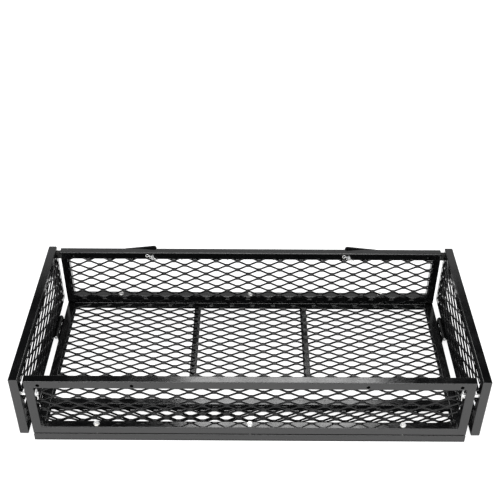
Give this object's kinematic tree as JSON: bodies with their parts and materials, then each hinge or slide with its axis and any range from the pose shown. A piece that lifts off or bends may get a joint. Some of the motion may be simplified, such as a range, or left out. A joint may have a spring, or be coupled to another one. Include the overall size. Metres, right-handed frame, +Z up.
{
  "type": "basket carrier",
  "caption": "Black steel mesh cargo basket: square-tube floor frame with bolted front and back panels and side panels that fold outward on barrel hinges.",
  "frame": {"origin": "centre of the whole part's footprint, on the plane that the floor frame rests on", "axes": "+X along the long side to the right, +Y from the front panel to the back panel, +Z up"},
  "size_m": [1.2968, 0.6176, 0.2389],
  "materials": {
    "frame_black": "glossy black powder coat",
    "mesh_black": "glossy black powder coat on expanded steel",
    "zinc": "bright zinc plate",
    "rubber_black": "matte moulded rubber"
  },
  "bodies": {
    "carrier": {"back_panel_bottom_rail": "frame_black", "back_panel_left_post": "frame_black", "back_panel_mesh": "mesh_black", "back_panel_right_post": "frame_black", "back_panel_top_rail": "frame_black", "clevis_pins": "zinc", "floor_back_rail": "frame_black", "floor_front_divider": "frame_black", "floor_front_rail": "frame_black", "floor_left_cross_bar": "frame_black", "floor_left_rail": "frame_black", "floor_mesh": "mesh_black", "floor_rear_divider": "frame_black", "floor_right_cross_bar": "frame_black", "floor_right_rail": "frame_black", "floor_strip_mesh": "mesh_black", "front_panel_bottom_rail": "frame_black", "front_panel_left_post": "frame_black", "front_panel_mesh": "mesh_black", "front_panel_right_post": "frame_black", "front_panel_top_rail": "frame_black", "hairpin_clips": "zinc", "left_corner_bumper": "rubber_black", "left_front_hinge_floor_leaf": "frame_black", "left_front_hinge_pin": "zinc", "left_rear_hinge_floor_leaf": "frame_black", "left_rear_hinge_pin": "zinc", "panel_bolts": "zinc", "panel_nuts": "zinc", "panel_spacers": "zinc", "right_corner_bumper": "rubber_black", "right_front_hinge_floor_leaf": "frame_black", "right_front_hinge_pin": "zinc", "right_rear_hinge_floor_leaf": "frame_black", "right_rear_hinge_pin": "zinc"},
    "left_side_panel": {"left_front_hinge_panel_leaf": "frame_black", "left_rail_plate": "frame_black", "left_rear_hinge_panel_leaf": "frame_black", "left_side_panel_bottom_rail": "frame_black", "left_side_panel_front_post": "frame_black", "left_side_panel_mesh": "mesh_black", "left_side_panel_rear_post": "frame_black", "left_side_panel_top_rail": "frame_black"},
    "right_side_panel": {"right_front_hinge_panel_leaf": "frame_black", "right_rail_plate": "frame_black", "right_rear_hinge_panel_leaf": "frame_black", "right_side_panel_bottom_rail": "frame_black", "right_side_panel_front_post": "frame_black", "right_side_panel_mesh": "mesh_black", "right_side_panel_rear_post": "frame_black", "right_side_panel_top_rail": "frame_black"},
    "left_lock": {"left_lock_clip": "zinc", "left_lock_pin": "zinc"},
    "right_lock": {"right_lock_clip": "zinc", "right_lock_pin": "zinc"},
    "left_stay": {"left_stay_bar": "frame_black"},
    "right_stay": {"right_stay_bar": "frame_black"}
  },
  "joints": [
    {"name": "left_side_fold", "type": "hinge", "parent": "carrier", "child": "left_side_panel", "pos_m": [-0.6163, -0.004, 0.0325], "axis": [0, -1, 0], "range_deg": [0, 90]},
    {"name": "left_lock_slide", "type": "slide", "parent": "carrier", "child": "left_lock", "axis": [1, 0, 0], "range_m": [0, 0.016]},
    {"name": "left_stay_swing", "type": "hinge", "parent": "carrier", "child": "left_stay", "pos_m": [-0.3145, 0.3032, 0.2184], "axis": [0, -1, 0], "range_deg": [-96.6, 83.4]},
    {"name": "right_side_fold", "type": "hinge", "parent": "carrier", "child": "right_side_panel", "pos_m": [0.6163, -0.004, 0.0325], "axis": [0, 1, 0], "range_deg": [0, 90]},
    {"name": "right_lock_slide", "type": "slide", "parent": "carrier", "child": "right_lock", "axis": [-1, 0, 0], "range_m": [0, 0.016]},
    {"name": "right_stay_swing", "type": "hinge", "parent": "carrier", "child": "right_stay", "pos_m": [0.3145, 0.3032, 0.2184], "axis": [0, 1, 0], "range_deg": [-96.6, 83.4]}
  ]
}
